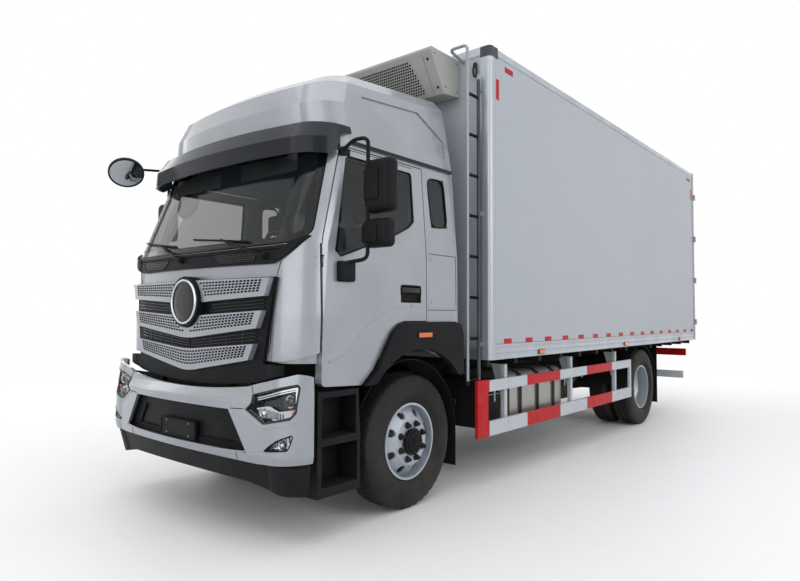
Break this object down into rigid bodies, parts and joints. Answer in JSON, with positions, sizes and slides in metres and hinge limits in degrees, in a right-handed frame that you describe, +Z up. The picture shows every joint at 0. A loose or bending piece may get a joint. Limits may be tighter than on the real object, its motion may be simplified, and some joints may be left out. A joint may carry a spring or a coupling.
{
  "type": "refrigerated box truck",
  "caption": "Two-axle refrigerated box truck with a tilting high-roof cab, steered front wheels, opening cab doors and swinging rear box doors.",
  "frame": {"origin": "on the ground under the middle of the truck's length and width", "axes": "+Z up, +X to the truck's left, +Y rearward, so the truck faces -Y"},
  "size_m": [3.03, 9, 3.98],
  "materials": {
    "frame_black": "semi-gloss",
    "cast_dark": "matte",
    "steel": "satin",
    "tank_aluminium": "satin",
    "guard_paint": "gloss",
    "black_plastic": "matte",
    "silver_paint": "metallic gloss",
    "lamp_clear": "clear",
    "lamp_red": "gloss",
    "box_white": "satin",
    "rail_aluminium": "satin",
    "corner_dark": "satin",
    "unit_cream": "satin",
    "tyre": "matte",
    "wheel_silver": "semi-gloss",
    "glass": "tinted",
    "interior_dark": "grained",
    "seat_fabric": "woven"
  },
  "bodies": {
    "chassis": {"frame_rails": "frame_black", "cross_members": "frame_black", "front_axle": "cast_dark", "leaf_springs": "cast_dark", "rear_axle": "cast_dark", "engine_block": "cast_dark", "propshaft": "cast_dark", "fuel_tank": "tank_aluminium", "chassis_boxes": "frame_black", "side_guards": "guard_paint", "rear_underrun": "guard_paint", "mudguards": "black_plastic", "cab_steps": "black_plastic", "front_bumper": "silver_paint", "bumper_trim": "black_plastic", "headlamps": "lamp_clear", "rear_lamps": "lamp_red", "floor_bearers": "frame_black", "box_floor": "rail_aluminium", "box_walls": "box_white", "box_roof": "box_white", "box_edge_rails": "rail_aluminium", "box_corners": "corner_dark", "box_rear_frame": "steel", "cooling_unit": "unit_cream", "evaporator": "box_white", "ladder": "rail_aluminium"},
    "tie_rod": {"tie_rod": "cast_dark"},
    "cab": {"cab_shell": "silver_paint", "cab_roof": "silver_paint", "nose_trim": "black_plastic", "grille_bars": "silver_paint", "cab_glass": "glass", "sun_visor": "black_plastic", "cab_flares": "black_plastic", "dashboard": "interior_dark", "seats": "seat_fabric", "steering_wheel": "interior_dark", "front_mirror": "black_plastic"},
    "knuckle_left": {"knuckle_left": "cast_dark"},
    "wheel_front_left": {"tyre_front_left": "tyre", "wheel_front_left": "wheel_silver"},
    "wheel_rear_left": {"tyre_rear_left": "tyre", "wheel_rear_left": "wheel_silver"},
    "cab_door_left": {"cab_door_left": "silver_paint", "door_window_left": "glass", "mirrors_left": "black_plastic"},
    "box_door_left": {"box_door_left": "box_white", "door_gear_left": "steel"},
    "knuckle_right": {"knuckle_right": "cast_dark"},
    "wheel_front_right": {"tyre_front_right": "tyre", "wheel_front_right": "wheel_silver"},
    "wheel_rear_right": {"tyre_rear_right": "tyre", "wheel_rear_right": "wheel_silver"},
    "cab_door_right": {"cab_door_right": "silver_paint", "door_window_right": "glass", "mirrors_right": "black_plastic"},
    "box_door_right": {"box_door_right": "box_white", "door_gear_right": "steel"}
  },
  "joints": [
    {"name": "steer_left", "type": "hinge", "parent": "chassis", "child": "knuckle_left", "pos_m": [0.82, -3.11, 0.522], "axis": [0, 0, 1], "range_deg": [-35, 35]},
    {"name": "steer_right", "type": "hinge", "parent": "chassis", "child": "knuckle_right", "pos_m": [-0.82, -3.11, 0.522], "axis": [0, 0, 1], "range_deg": [-35, 35]},
    {"name": "tie_rod_pivot", "type": "hinge", "parent": "knuckle_left", "child": "tie_rod", "pos_m": [0.82, -2.895, 0.38], "axis": [0, 0, 1], "range_deg": [-35, 35]},
    {"name": "wheel_spin_front_left", "type": "hinge", "parent": "knuckle_left", "child": "wheel_front_left", "pos_m": [1, -3.11, 0.522], "axis": [1, 0, 0], "continuous": true},
    {"name": "wheel_spin_rear_left", "type": "hinge", "parent": "chassis", "child": "wheel_rear_left", "pos_m": [0.935, 1.97, 0.522], "axis": [1, 0, 0], "continuous": true},
    {"name": "wheel_spin_front_right", "type": "hinge", "parent": "knuckle_right", "child": "wheel_front_right", "pos_m": [-1, -3.11, 0.522], "axis": [1, 0, 0], "continuous": true},
    {"name": "wheel_spin_rear_right", "type": "hinge", "parent": "chassis", "child": "wheel_rear_right", "pos_m": [-0.935, 1.97, 0.522], "axis": [1, 0, 0], "continuous": true},
    {"name": "cab_tilt", "type": "hinge", "parent": "chassis", "child": "cab", "pos_m": [0, -4.362, 0.77], "axis": [1, 0, 0], "range_deg": [0, 40]},
    {"name": "cab_door_hinge_left", "type": "hinge", "parent": "cab", "child": "cab_door_left", "pos_m": [1.143, -4.092, 1.6], "axis": [0, 0, -1], "range_deg": [0, 70]},
    {"name": "box_door_hinge_left", "type": "hinge", "parent": "chassis", "child": "box_door_left", "pos_m": [1.312, 4.472, 2.5], "axis": [0, 0, -1], "range_deg": [0, 255]},
    {"name": "cab_door_hinge_right", "type": "hinge", "parent": "cab", "child": "cab_door_right", "pos_m": [-1.143, -4.092, 1.6], "axis": [0, 0, 1], "range_deg": [0, 70]},
    {"name": "box_door_hinge_right", "type": "hinge", "parent": "chassis", "child": "box_door_right", "pos_m": [-1.312, 4.472, 2.5], "axis": [0, 0, 1], "range_deg": [0, 255]}
  ],
  "couplings": [
    {"joint": "steer_right", "follows": "steer_left", "ratio": 1},
    {"joint": "tie_rod_pivot", "follows": "steer_left", "ratio": -1}
  ]
}
